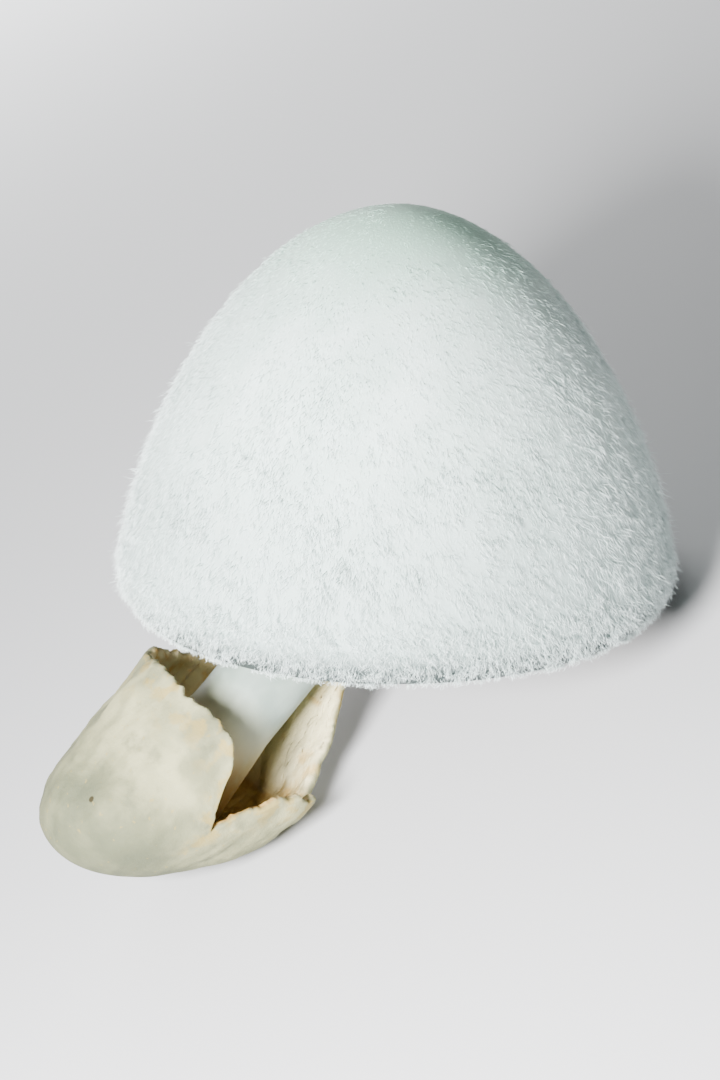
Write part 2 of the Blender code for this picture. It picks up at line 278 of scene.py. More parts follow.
def value_of(tree, label):
    """The number that the mesh carries at each point under this label."""
    return node(tree, "ShaderNodeAttribute", attribute_name=label).outputs["Fac"]


def ramp(tree, source, fade):
    """The source stretched so that the first number of the fade gives 0 and the second gives 1."""
    links = {0: source, 1: fade[0], 2: fade[1], 3: 0.0, 4: 1.0}
    return node(tree, "ShaderNodeMapRange", links, interpolation_type="SMOOTHSTEP").outputs[0]


def product(tree, one, other):
    """One share times another, or times a number."""
    return node(tree, "ShaderNodeMath", {0: one, 1: other}, operation="MULTIPLY").outputs[0]


def mean(tree, one, other):
    """The mean of two shares."""
    total = node(tree, "ShaderNodeMath", {0: one, 1: other}, operation="ADD").outputs[0]
    return product(tree, total, 0.5)


def blend(tree, share, under, over):
    """One colour over another, by a share between 0 and 1."""
    mixed = node(tree, "ShaderNodeMix", {0: share}, data_type="RGBA")
    for socket, colour in ((6, under), (7, over)):
        if isinstance(colour, bpy.types.NodeSocket):
            tree.links.new(colour, mixed.inputs[socket])
        else:
            mixed.inputs[socket].default_value = (*colour, 1.0)
    return mixed.outputs[2]


def rough_surface(tree, shader, height, depth, strength):
    """Fine relief on the surface, this deep, from a height between 0 and 1."""
    links = {"Height": height, "Distance": depth, "Strength": strength}
    tree.links.new(node(tree, "ShaderNodeBump", links).outputs[0], shader.inputs["Normal"])


def soft_flesh(shader, weight, depths):
    """Light that sinks into the flesh, this deep in red, green and blue."""
    shader.inputs["Subsurface Weight"].default_value = weight
    shader.inputs["Subsurface Radius"].default_value = depths
    shader.inputs["Subsurface Scale"].default_value = 1.0


SAC_CREAM = (0.125, 0.133, 0.073)
SAC_PALE = (0.33, 0.325, 0.18)
SAC_GREY = (0.080, 0.090, 0.055)
SAC_STAIN = (0.34, 0.24, 0.05)
SAC_LINING_LIT = (0.62, 0.57, 0.33)
SAC_BROWN_SHADE = (0.33, 0.19, 0.045)
SAC_TAN = (0.50, 0.34, 0.11)
SPECK = (0.03, 0.025, 0.01)
SPECK_PLACE = Vector((-17.04, -7.01, 20.98)) * MM
SPECK_FADE = (0.48 * MM, 0.30 * MM)
CLOUD_SIZE, CLOUD_FADE = 6.0 * MM, (0.38, 0.62)
PALE_BELOW_EDGE = (22.0, 4.0)
PATCH_SIZE, PATCH_FADE, PATCH_SHARE = 3.2 * MM, (0.50, 0.72), 0.55
SOIL_AND_SHADE_HEIGHT, SOIL_AND_SHADE_SHARE = (14.0, 3.0), 0.60
FURROW_SHADE_FADE, FURROW_SHADE_SHARE = (0.02, -0.18), 0.45
STAIN_BELOW_EDGE = (7.0, 0.5)
STAIN_SIZE, STAIN_FADE, STAIN_SHARE = 2.4 * MM, (0.48, 0.60), 0.55
FLECK_SIZE, FLECK_FADE, FLECK_SHARE = 0.8 * MM, (0.66, 0.74), 0.35
DEEP_SHADE_HEIGHT = (24.0, 17.0)
MOTTLE_SIZE, MOTTLE_FADE = 2.0 * MM, (0.35, 0.65)
LINING_SIZE, LINING_FADE = 5.0 * MM, (0.50, 0.70)
LIP_FADE = (0.4, 0.9)
FELT_SIZE, FELT_DEPTH, FELT_STRENGTH = 0.45 * MM, 0.12 * MM, 0.7
SAC_LIGHT_DEPTHS = (1.2 * MM, 1.0 * MM, 0.6 * MM)

felt, tree, shader = finish("volva_felt", roughness=0.85, specular=0.25)
clouds = ramp(tree, grain(tree, CLOUD_SIZE), CLOUD_FADE)
# Paler towards the tear and darker lower down: partly the sac's own tone, partly painted shade on its lower
# side.
paler = ramp(tree, value_of(tree, "below_edge"), PALE_BELOW_EDGE)
outer = blend(tree, mean(tree, clouds, paler), SAC_CREAM, SAC_PALE)
patches = ramp(tree, grain(tree, PATCH_SIZE, detail=4.0), PATCH_FADE)
outer = blend(tree, product(tree, patches, PATCH_SHARE), outer, SAC_GREY)
# Greyer towards the foot: partly soil, partly painted shade on the sac's lower side.
soil_and_shade = ramp(tree, value_of(tree, "height"), SOIL_AND_SHADE_HEIGHT)
outer = blend(tree, product(tree, soil_and_shade, SOIL_AND_SHADE_SHARE), outer, SAC_GREY)
# Painted shade in the wrinkles' furrows: the sac turns greyer where its relief sinks in.
furrows = ramp(tree, value_of(tree, "fold"), FURROW_SHADE_FADE)
outer = blend(tree, product(tree, furrows, FURROW_SHADE_SHARE), outer, SAC_GREY)
near_edge = ramp(tree, value_of(tree, "below_edge"), STAIN_BELOW_EDGE)
stains = product(tree, near_edge, ramp(tree, grain(tree, STAIN_SIZE), STAIN_FADE))
outer = blend(tree, product(tree, stains, STAIN_SHARE), outer, SAC_STAIN)
flecks = ramp(tree, grain(tree, FLECK_SIZE, detail=2.0), FLECK_FADE)
outer = blend(tree, product(tree, flecks, FLECK_SHARE), outer, SAC_STAIN)
ends = {0: place_in_object(tree), 1: SPECK_PLACE}
to_speck = node(tree, "ShaderNodeVectorMath", ends, operation="DISTANCE").outputs["Value"]
outer = blend(tree, ramp(tree, to_speck, SPECK_FADE), outer, SPECK)
# Inside, the lining is painted lighter than the sac's own cream as painted light in the shaded hollow, and
# deep down it turns brown as painted shade.
deep = ramp(tree, value_of(tree, "height"), DEEP_SHADE_HEIGHT)
mottled = blend(tree, ramp(tree, grain(tree, MOTTLE_SIZE), MOTTLE_FADE), SAC_BROWN_SHADE, SAC_TAN)
inner = blend(tree, ramp(tree, grain(tree, LINING_SIZE), LINING_FADE), SAC_LINING_LIT, SAC_TAN)
inner = blend(tree, deep, inner, mottled)
colour = blend(tree, ramp(tree, value_of(tree, "inside"), LIP_FADE), outer, inner)
tree.links.new(colour, shader.inputs["Base Color"])
rough_surface(tree, shader, grain(tree, FELT_SIZE, detail=4.0, roughness=0.65), FELT_DEPTH, FELT_STRENGTH)
soft_flesh(shader, 0.12, SAC_LIGHT_DEPTHS)
sac.data.materials.append(felt)
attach(sac, "root")
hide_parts("volva")


# Stem
# The real stem is solid white flesh with a smooth, faintly streaked skin; its white is painted grey-green
# here as painted shade below the cap. It leaves the middle of the cap along the cap's axis, bends, and
# swells into the foot from which the volva rises.
STEM_RADIUS = 5.5 * MM
STEM_TOP_RADIUS = 5.9 * MM
BULB_RADIUS = 7.0 * MM
BULB_LENGTH = 24.0 * MM
BEND_RADIUS = 30.0 * MM
STEM_TOP = 41.0 * MM
FOOT_SLANT = 10.0 * MM
FOOT_ROUNDING = 3.0 * MM
STEM_AROUND = 72
TOP_ROWS = 18
BEND_ROWS = 20
FOOT_ROWS = 44
FOOT_TURNS = (0.4, 0.8, 1.1, 1.4, math.pi / 2)
STREAKS = [(0.10 * MM, 2.4, 16.0 * MM), (0.05 * MM, 7.0, 22.0 * MM), (0.025 * MM, 18.0, 14.0 * MM)]


def stem_path():
    """The stem's centre, direction and radius from its top to its foot, in the cap's frame."""
    reach = BEND_RADIUS * math.tan(STEM_BEND / 2)
    slant = np.array([-math.sin(STEM_BEND), 0.0, -math.cos(STEM_BEND)])
    path = []
    for height in np.linspace(STEM_TOP, BEND_CORNER + reach, TOP_ROWS, endpoint=False):
        part = (height - BEND_CORNER - reach) / (STEM_TOP - BEND_CORNER - reach)
        radius = STEM_RADIUS + (STEM_TOP_RADIUS - STEM_RADIUS) * part ** 2
        path.append((np.array([0.0, 0.0, height]), 0.0, radius))
    for turn in np.linspace(0.0, STEM_BEND, BEND_ROWS, endpoint=False):
        across = BEND_RADIUS * (1 - math.cos(turn))
        down = BEND_CORNER + reach - BEND_RADIUS * math.sin(turn)
        path.append((np.array([-across, 0.0, down]), turn, STEM_RADIUS))
    corner = np.array([0.0, 0.0, BEND_CORNER])
    length = CORNER_TO_FOOT - reach
    for along in np.linspace(0.0, length - FOOT_ROUNDING, FOOT_ROWS):
        swell = max(0.0, 1 - (length - along) / BULB_LENGTH)
        radius = STEM_RADIUS + (BULB_RADIUS - STEM_RADIUS) * math.sin(math.pi / 2 * swell)
        path.append((corner + slant * (reach + along), STEM_BEND, radius))
    for turn in FOOT_TURNS:
        end = corner + slant * (reach + length - FOOT_ROUNDING * (1 - math.sin(turn)))
        path.append((end, STEM_BEND, BULB_RADIUS * math.cos(turn)))
    return path


def stem_rings():
    """Rings along the stem, faintly streaked, and slanted near the foot as the sac's foot is."""
    angle = np.linspace(0.0, math.tau, STEM_AROUND, endpoint=False)
    rings = [np.tile(np.array([0.0, 0.0, STEM_TOP]), (STEM_AROUND, 1))]
    walked = 0.0
    before = rings[0][0]
    for centre, turn, radius in stem_path():
        walked += np.linalg.norm(centre - before)
        before = centre
        sideways = np.array([math.cos(turn), 0.0, -math.sin(turn)])
        round_stem = np.cos(angle)[:, None] * sideways + np.sin(angle)[:, None] * np.array([0.0, 1.0, 0.0])
        swell = np.zeros(STEM_AROUND)
        for depth, pitch, length in STREAKS:
            lines = np.stack([np.cos(angle) * pitch, np.sin(angle) * pitch,
                              np.full(STEM_AROUND, walked / length)], axis=-1)
            swell += depth * noise_at(lines, 1.0) * min(1.0, radius / STEM_RADIUS)
        rings.append(centre + round_stem * (radius + swell)[:, None])
    rings = np.array(rings)
    to_sac = sac_place.inverted() @ cap_place
    local = placed(to_sac, rings.reshape(-1, 3))
    nearness = np.clip(1 - local[:, 2] / FOOT_SLANT, 0.0, 1.0)
    across = local[:, 0] * math.cos(SAC_SKEW_SIDE) + local[:, 1] * math.sin(SAC_SKEW_SIDE)
    high = local[:, 2].copy()
    local[:, 2] -= nearness * SAC_SKEW * across
    return placed(to_sac.inverted(), local).reshape(rings.shape), {"height": high / MM}


rings, values = stem_rings()
stem = ring_mesh("stem_flesh", rings, values, cap_place)

STEM_WHITE_SHADED = (0.275, 0.34, 0.295)
STEM_SHADE = (0.205, 0.265, 0.23)
STEM_CREAM = (0.34, 0.325, 0.18)
STEM_BROWN = (0.30, 0.17, 0.03)
SHADE_SIZE, SHADE_FADE = 5.0 * MM, (0.35, 0.65)
CREAM_HEIGHT = (28.0, 20.0)
BROWN_HEIGHT = (23.0, 16.0)
BROWN_SIZE, BROWN_FADE, BROWN_SHARE = 4.0 * MM, (0.15, 0.5), 0.85
STEM_SKIN_SIZE, STEM_SKIN_DEPTH, STEM_SKIN_STRENGTH = 0.5 * MM, 0.05 * MM, 0.5
FLESH_LIGHT_DEPTHS = (2.0 * MM, 1.8 * MM, 1.5 * MM)

silk_white, tree, shader = finish("stem_skin", roughness=0.5, specular=0.4)
shaded = ramp(tree, grain(tree, SHADE_SIZE, detail=2.0), SHADE_FADE)
# The stem's own white is painted darker throughout, as painted shade below the cap.
colour = blend(tree, shaded, STEM_SHADE, STEM_WHITE_SHADED)
colour = blend(tree, ramp(tree, value_of(tree, "height"), CREAM_HEIGHT), colour, STEM_CREAM)
# Browner in patches low down on the stem, where it stands in the sac.
browner_low_down = ramp(tree, value_of(tree, "height"), BROWN_HEIGHT)
browner_low_down = product(tree, browner_low_down, ramp(tree, grain(tree, BROWN_SIZE), BROWN_FADE))
colour = blend(tree, product(tree, browner_low_down, BROWN_SHARE), colour, STEM_BROWN)
tree.links.new(colour, shader.inputs["Base Color"])
rough_surface(tree, shader, grain(tree, STEM_SKIN_SIZE), STEM_SKIN_DEPTH, STEM_SKIN_STRENGTH)
soft_flesh(shader, 0.2, FLESH_LIGHT_DEPTHS)
stem.data.materials.append(silk_white)
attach(stem, "root")
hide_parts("stem")


# Cap flesh
# The real cap is a bell of soft white flesh, thick in the middle and thin at its curled-in margin. Its
# skin is pale and dull under the hairs; on the lower bell it is painted darker as shade among the hairs,
# and near-black at the margin as painted shade. It is one turned sheet, closed over the top of the stem.
CAP_RADIUS = 34.2 * MM
CAP_HEIGHT = 49.8 * MM
CAP_WIDEST = 5.0 * MM
CAP_SHOULDER = 1.47
CAP_ROUNDNESS = 1.94
CAP_SWEEP = 0.82
MARGIN_INSET = 3.4 * MM
FLESH_AT_DISC = 7.0 * MM
FLESH_AT_MARGIN = 1.5 * MM
FLESH_THINS = 1.3
SLOPE_STEP = 0.004
CAP_AROUND = 200
CAP_ROWS = 84
LIP_ROWS = 5
UNDER_ROWS = 26
CAP_LUMPS = [(0.22 * MM, 9.0 * MM), (0.05 * MM, 2.2 * MM)]


def cap_outer(share):
    """Radius and height on the bell's outside: share 0 is the top and share 1 the tip of the margin."""
    share = np.asarray(share, dtype=float)
    rise = np.cos(np.minimum(share / CAP_SWEEP, 1.0) * math.pi / 2)
    radius = CAP_RADIUS * np.maximum(1 - rise ** CAP_SHOULDER, 0.0) ** (1 / CAP_ROUNDNESS)
    height = CAP_WIDEST + rise * (CAP_HEIGHT - CAP_WIDEST)
    turn = np.maximum(share - CAP_SWEEP, 0.0) / (1 - CAP_SWEEP) * math.pi / 2
    radius = radius - MARGIN_INSET * (1 - np.cos(turn))
    height = height - CAP_WIDEST * np.sin(turn)
    return np.stack([radius, height], axis=-1)


def cap_slope(share):
    """Unit direction down the bell's outside, towards the margin."""
    along = cap_outer(np.minimum(share + SLOPE_STEP, 1.0)) - cap_outer(np.maximum(share - SLOPE_STEP, 0.0))
    return along / np.linalg.norm(along, axis=-1, keepdims=True)


def cap_under(share, depth):
    """Radius and height of a point this deep under the bell's outside."""
    slope = cap_slope(share)
    inward = np.stack([slope[..., 1], -slope[..., 0]], axis=-1)
    return cap_outer(share) + np.asarray(depth)[..., None] * inward


def flesh(share):
    """Thickness of the flesh, from the disc to the margin."""
    return FLESH_AT_MARGIN + (FLESH_AT_DISC - FLESH_AT_MARGIN) * (1 - share) ** FLESH_THINS


def turned(outline, angle):
    """Rings of points for an outline of radii and heights turned round the cap's axis."""
    return round_axis(angle)[None] * outline[:, 0, None, None] + UP * outline[:, 1, None, None]


def cap_rings():
    """The bell's outside from its top to the margin, the rounded lip and the underside, with values."""
    shares = np.linspace(0.0, 1.0, CAP_ROWS + 1)
    outside = cap_outer(shares)
    tip = outside[-1]
    half = FLESH_AT_MARGIN / 2
    turns = np.linspace(0.0, math.pi, LIP_ROWS + 2)[1:-1]
    lip = np.stack([tip[0] - half * np.sin(turns), tip[1] + half - half * np.cos(turns)], axis=-1)
    back = np.linspace(1.0, 0.0, UNDER_ROWS + 1)
    under = cap_under(back, flesh(back))
    under[-1, 0] = 0.0
    under[:, 0] = np.maximum(under[:, 0], 0.0)
    angle = np.linspace(0.0, math.tau, CAP_AROUND, endpoint=False)
    rings = turned(np.concatenate([outside, lip, under]), angle)
    for depth, size in CAP_LUMPS:
        rings[:, :, :2] *= 1 + depth * noise_at(rings, size)[..., None] / CAP_RADIUS
    down = np.concatenate([shares, np.ones(len(lip)), back])
    inner = np.concatenate([np.zeros(len(shares)), np.linspace(0.2, 0.8, len(lip)), np.ones(len(back))])
    return rings, {"down": np.repeat(down, CAP_AROUND), "inside": np.repeat(inner, CAP_AROUND)}


rings, values = cap_rings()
cap_flesh = ring_mesh("cap_flesh", rings, values, cap_place)

SKIN_PALE = (0.54, 0.65, 0.62)
SKIN_GREEN = (0.45, 0.57, 0.53)
SKIN_MINT = (0.36, 0.56, 0.45)
SKIN_SHADED = (0.38, 0.47, 0.45)
SKIN_MARGIN_SHADE = (0.035, 0.048, 0.046)
FLESH_WHITE = (0.86, 0.84, 0.79)
MIST_SIZE, MIST_FADE = 7.0 * MM, (0.35, 0.65)
MINT_DOWN = (0.42, 0.12)
SHADED_DOWN = (0.50, 0.78)
MARGIN_SHADE_DOWN = (0.80, 0.90)
UNDERSIDE_FADE = (0.3, 0.8)
CAP_SKIN_SIZE, CAP_SKIN_DEPTH, CAP_SKIN_STRENGTH = 0.3 * MM, 0.08 * MM, 0.6

skin, tree, shader = finish("cap_skin", roughness=0.7, specular=0.3)
mist = ramp(tree, grain(tree, MIST_SIZE), MIST_FADE)
colour = blend(tree, mist, SKIN_GREEN, SKIN_PALE)
colour = blend(tree, ramp(tree, value_of(tree, "down"), MINT_DOWN), colour, SKIN_MINT)
colour = blend(tree, ramp(tree, value_of(tree, "down"), SHADED_DOWN), colour, SKIN_SHADED)
# Painted shade at the margin: the skin turns near-black where the curled-in margin and its hairs shade it.
colour = blend(tree, ramp(tree, value_of(tree, "down"), MARGIN_SHADE_DOWN), colour, SKIN_MARGIN_SHADE)
colour = blend(tree, ramp(tree, value_of(tree, "inside"), UNDERSIDE_FADE), colour, FLESH_WHITE)
tree.links.new(colour, shader.inputs["Base Color"])
rough_surface(tree, shader, grain(tree, CAP_SKIN_SIZE), CAP_SKIN_DEPTH, CAP_SKIN_STRENGTH)
soft_flesh(shader, 0.2, FLESH_LIGHT_DEPTHS)
cap_flesh.data.materials.append(skin)
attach(cap_flesh, "root")
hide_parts("cap")


# Gills
# The real gills are thin, soft, crowded blades that hang from the flesh and stop short of the stem. They
# turn from white to pink as the spores ripen. Whole ones alternate with shorter ones that start further
# out, and each has a slight wave along its free edge.
FULL_GILLS = 56
FULL_START = 9.0 * MM
MIDDLE_START = 17.0 * MM
SHORT_START = 24.0 * MM
GILL_DEPTH = 8.6 * MM
GILL_END = 30.6 * MM
GILL_LIMIT = 0.80
LIMIT_STEPS = 800
BED = 1.1 * MM
GAP = 0.3 * MM
BED_PAST_START = 0.02
BED_PAST_END = 0.012
BED_ROWS = 16
BED_AROUND = 144
GILL_TOP_THICKNESS = 0.46 * MM
GILL_EDGE_THICKNESS = 0.22 * MM
GILL_THINNEST_END = 0.25
GILL_TAPER = 6.0
GILL_SKEW = 0.85
GILL_FULLNESS = 0.8
GILL_WAVE = 0.32 * MM
GILL_WAVE_SIZE = 6.0 * MM
GILL_PHASES = 50.0
GILL_SCATTER = 0.12
START_VARIES = (0.97, 1.06)
DEPTH_VARIES = (0.92, 1.04)
GILL_KINDS = [(FULL_START, 26), (SHORT_START, 12), (MIDDLE_START, 18), (SHORT_START, 12)]
GILL_ACROSS = 3
SHARP_EDGE = math.radians(50)
rng = np.random.default_rng(11)


def share_at(radius):
    """The share of the bell at which the underside of the gills' bed has this radius."""
    shares = np.linspace(0.0, GILL_LIMIT, LIMIT_STEPS)
    radii = cap_under(shares, flesh(shares) + GAP + BED)[:, 0]
    return float(np.interp(radius, radii, shares))


def gill(start, stations, angle):
    """One blade as a closed tube of flat cross-sections from its inner to its outer end."""
    first = share_at(start * rng.uniform(*START_VARIES))
    last = share_at(GILL_END)
    share = np.linspace(first, last, stations)
    along = np.linspace(0.0, 1.0, stations)
    depth = GILL_DEPTH * np.sin(math.pi * along ** GILL_SKEW) ** GILL_FULLNESS * rng.uniform(*DEPTH_VARIES)
    phase = rng.uniform(0.0, GILL_PHASES)
    points = []
    sides = [(part, 1.0) for part in np.linspace(0.0, 1.0, GILL_ACROSS)]
    sides += [(part, -1.0) for part in np.linspace(1.0, 0.0, GILL_ACROSS)]
    for part, side in sides:
        middle = cap_under(share, flesh(share) + GAP + BED * 0.5 + (depth + BED * 0.5) * part)
        places = np.stack([middle[:, 0] / GILL_WAVE_SIZE, middle[:, 1] / GILL_WAVE_SIZE,
                           np.full(stations, phase)], axis=-1)
        wave = GILL_WAVE * noise_at(places, 1.0) * part
        thickness = GILL_TOP_THICKNESS + (GILL_EDGE_THICKNESS - GILL_TOP_THICKNESS) * part
        thickness = thickness * np.clip(np.sin(math.pi * along) * GILL_TAPER, GILL_THINNEST_END, 1.0)
        sideways = side * thickness / 2 + wave
        x = middle[:, 0] * math.cos(angle) - sideways * math.sin(angle)
        y = middle[:, 0] * math.sin(angle) + sideways * math.cos(angle)
        points.append(np.stack([x, y, middle[:, 1]], axis=-1))
    return np.stack(points, axis=1)


def gill_mesh():
    """All blades and the thin bed that they hang from, as one mesh."""
    vertices = []
    faces = []
    free_edge = []
    count = 0
    for index in range(FULL_GILLS * len(GILL_KINDS)):
        start, stations = GILL_KINDS[index % len(GILL_KINDS)]
        scatter = rng.uniform(-GILL_SCATTER, GILL_SCATTER)
        angle = math.tau * (index + scatter) / (FULL_GILLS * len(GILL_KINDS))
        blade = gill(start, stations, angle)
        sides = blade.shape[1]
        vertices.append(blade.reshape(-1, 3))
        part = np.concatenate([np.linspace(0, 1, GILL_ACROSS), np.linspace(1, 0, GILL_ACROSS)])
        free_edge.append(np.tile(part, stations))
        number = count + np.arange(stations * sides).reshape(stations, sides)
        beside = np.roll(number, -1, axis=1)
        quads = np.stack([number[:-1], beside[:-1], beside[1:], number[1:]], axis=-1)
        faces += quads.reshape(-1, 4).tolist()
        faces += [number[0][::-1].tolist(), number[-1].tolist()]
        count += stations * sides
    first = share_at(FULL_START) - BED_PAST_START
    shares = np.linspace(first, share_at(GILL_END) + BED_PAST_END, BED_ROWS)
    upper = cap_under(shares, flesh(shares) + GAP)
    lower = cap_under(shares[::-1], flesh(shares[::-1]) + GAP + BED)
    bed = turned(np.concatenate([upper, lower]), np.linspace(0.0, math.tau, BED_AROUND, endpoint=False))
    number = count + np.arange(bed.shape[0] * bed.shape[1]).reshape(bed.shape[:2])
    below = np.roll(number, -1, axis=0)
    quads = np.stack([number, below, np.roll(below, -1, axis=1), np.roll(number, -1, axis=1)], axis=-1)
    faces += quads.reshape(-1, 4).tolist()
    vertices.append(bed.reshape(-1, 3))
    free_edge.append(np.zeros(bed.shape[0] * bed.shape[1]))
    mesh = bpy.data.meshes.new("gill_blades")
    mesh.from_pydata(placed(cap_place, np.concatenate(vertices)).tolist(), [], faces)
    put_values(mesh, {"free_edge": np.concatenate(free_edge)})
    work = bmesh.new()
    work.from_mesh(mesh)
    bmesh.ops.recalc_face_normals(work, faces=work.faces)
    work.to_mesh(mesh)
    work.free()
    mesh.shade_smooth()
    mesh.set_sharp_from_angle(angle=SHARP_EDGE)
    return mesh


gills = linked("gill_blades", gill_mesh())

GILL_CREAM = (0.88, 0.80, 0.72)
GILL_PINK = (0.82, 0.64, 0.56)
TINT_SIZE, TINT_FADE = 5.0 * MM, (0.35, 0.65)
FREE_EDGE_SHARE = 0.5
GILL_SKIN_SIZE, GILL_SKIN_DEPTH, GILL_SKIN_STRENGTH = 0.4 * MM, 0.04 * MM, 0.5
GILL_LIGHT_DEPTHS = (1.5 * MM, 1.0 * MM, 0.8 * MM)

blade_skin, tree, shader = finish("gill_skin", roughness=0.65, specular=0.3)
tint = ramp(tree, grain(tree, TINT_SIZE), TINT_FADE)
colour = blend(tree, tint, GILL_CREAM, GILL_PINK)
colour = blend(tree, product(tree, value_of(tree, "free_edge"), FREE_EDGE_SHARE), colour, GILL_CREAM)
tree.links.new(colour, shader.inputs["Base Color"])
rough_surface(tree, shader, grain(tree, GILL_SKIN_SIZE, detail=2.0), GILL_SKIN_DEPTH, GILL_SKIN_STRENGTH)
soft_flesh(shader, 0.15, GILL_LIGHT_DEPTHS)
gills.data.materials.append(blade_skin)
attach(gills, "root")
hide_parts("gills")


# Silky hairs
# The real cap is covered all over by fine white hairs that grow out of its skin. They lie down its slope
# like wet silk at the top, and stand in longer, looser, woollier locks towards the margin, where they
# make a fringe. Each hair here is a thin closed spike that tapers to a point and is rooted in the flesh.
HAIR_SUNK = 0.10 * MM
HAIR_SPREAD = 0.40 * MM
SPREAD_AT_TOP = 2.5
SPREAD_NARROWS = (0.2, 0.7)
LENGTH_AT_TOP = 0.95 * MM
LENGTH_AT_MARGIN = 1.5 * MM
EDGE_SHORTER = 0.55
LOCK_LENGTHS = (0.75, 1.25)
HAIR_LENGTHS = (0.6, 1.3)
LOW_ON_CAP = (0.25, 0.85)
AT_EDGE = (0.78, 0.95)
LIFT = (5.0, 9.0, 10.0)
LIFT_VARIES = 0.45
HEADING_VARIES = (0.10, 0.12, 0.55)
BOW = (0.08, 0.0, 0.10)
LOCK_LEAN = 0.14
SWEEP = 0.28
SWEEP_SIZE = 8.0 * MM
THINNER_ABOVE = (0.1, 0.6)
AREA_STEPS = 500
FLOOR_CLEARANCE = 0.03 * MM
CAP_SLOPE_LENGTH = 62.0 * MM
HAIR_SIDES = 3
HAIR_NARROWS = 0.4
MOSTLY_THIN = 3
HAIR_THICKNESS = (0.035 * MM, 0.08 * MM)
FRINGE_THICKNESS = (0.045 * MM, 0.09 * MM)
STRAIGHT = [0.0, 1.0]
BENT = [0.0, 0.5, 1.0]


def smooth(value, low, high):
    """A soft step from 0 at the low value to 1 at the high one."""
    part = np.clip((value - low) / (high - low), 0.0, 1.0)
    return part * part * (3 - 2 * part)


def graded(amounts, low, edge):
    """An amount for the top, with more for hairs low on the cap and more again for those at its edge."""
    return amounts[0] + amounts[1] * low + amounts[2] * edge


def scattered_shares(count, first, last, thin_top):
    """Shares of the bell between two bounds, spread over its area and thinner towards its top."""
    shares = np.linspace(first, last, AREA_STEPS)
    outline = cap_outer(shares)
    step = np.linalg.norm(np.diff(outline, axis=0), axis=1)
    dense = 1 - thin_top * (1 - smooth(shares[1:], *THINNER_ABOVE))
    area = np.concatenate([[0.0], np.cumsum(step * (outline[1:, 0] + outline[:-1, 0]) * dense)])
    return np.interp(rng.random(count) * area[-1], area, shares)


def on_cap(share, angle):
    """Place, downhill, sideways and outward directions on the cap, in its own frame."""
    spot = cap_outer(share)
    slope = cap_slope(share)
    cosine = np.cos(angle)
    sine = np.sin(angle)
    place = np.stack([spot[:, 0] * cosine, spot[:, 0] * sine, spot[:, 1]], axis=-1)
    down = np.stack([slope[:, 0] * cosine, slope[:, 0] * sine, slope[:, 1]], axis=-1)
    side = np.stack([-sine, cosine, np.zeros_like(angle)], axis=-1)
    out = np.stack([-slope[:, 1] * cosine, -slope[:, 1] * sine, slope[:, 0]], axis=-1)
    return place, down, side, out


def unit(vectors):
    """Vectors of length 1."""
    return vectors / (np.linalg.norm(vectors, axis=-1, keepdims=True) + TINY)


def locks(count, each, first, last, thin_top, length_scale, lift_scale, curl, drawn, joints):
    """Spines of hairs in locks, whose hairs are drawn together by a share at their tips."""
    share = np.repeat(scattered_shares(count, first, last, thin_top), each)
    angle = np.repeat(rng.random(count) * math.tau, each)
    total = count * each
    place, down, side, out = on_cap(share, angle)
    lock_lean = np.repeat(rng.normal(0.0, LOCK_LEAN, count), each)
    sweep = SWEEP * noise_at(place, SWEEP_SIZE) + lock_lean
    spread = HAIR_SPREAD * (SPREAD_AT_TOP - (SPREAD_AT_TOP - 1) * smooth(share, *SPREAD_NARROWS))
    offset = (down * (rng.normal(0.0, 1.0, total) * spread)[:, None]
              + side * (rng.normal(0.0, 1.0, total) * spread)[:, None])
    spot = place + offset
    own_share = share + np.einsum("ij,ij->i", offset, down) / CAP_SLOPE_LENGTH
    own_share = np.clip(np.abs(own_share), 0.0, 1.0)
    root, down, side, out = on_cap(own_share, np.arctan2(spot[:, 1], spot[:, 0]))
    low = smooth(own_share, *LOW_ON_CAP)
    edge = smooth(own_share, *AT_EDGE)
    lift = np.radians(graded(LIFT, low, edge)) * lift_scale
    lift = lift * np.exp(rng.normal(0.0, LIFT_VARIES, total))
    heading = sweep + rng.normal(0.0, graded(HEADING_VARIES, low, edge), total)
    length = (LENGTH_AT_TOP + (LENGTH_AT_MARGIN - LENGTH_AT_TOP) * low) * length_scale
    length = length * (1 - EDGE_SHORTER * edge)
    length = length * np.repeat(rng.uniform(*LOCK_LENGTHS, count), each) * rng.uniform(*HAIR_LENGTHS, total)
    lean = down * np.cos(heading)[:, None] + side * np.sin(heading)[:, None]
    tip = root + length[:, None] * (lean * np.cos(lift)[:, None] + out * np.sin(lift)[:, None])
    tip -= offset * (drawn * low)[:, None]
    bow = (out * (length * graded(BOW, low, edge))[:, None]
           + side * (length * rng.normal(0.0, curl, total))[:, None])
    spine = [root - out * HAIR_SUNK]
    for part in joints[1:]:
        spine.append(root + (tip - root) * part + bow * math.sin(math.pi * part))
    return np.stack(spine, axis=1), out, own_share


def hair_triangles(joints):
    """The triangles of one spike: its foot, its point and the sides of each stretch between joints."""
    last = HAIR_SIDES * (len(joints) - 2)
    triangles = [(0, 2, 1)]
    for corner in range(HAIR_SIDES):
        triangles.append((last + corner, last + (corner + 1) % HAIR_SIDES, last + HAIR_SIDES))
    for low in range(last):
        ring, corner = divmod(low, HAIR_SIDES)
        beside = HAIR_SIDES * ring + (corner + 1) % HAIR_SIDES
        triangles += [(low, beside, beside + HAIR_SIDES), (low, beside + HAIR_SIDES, low + HAIR_SIDES)]
    return triangles


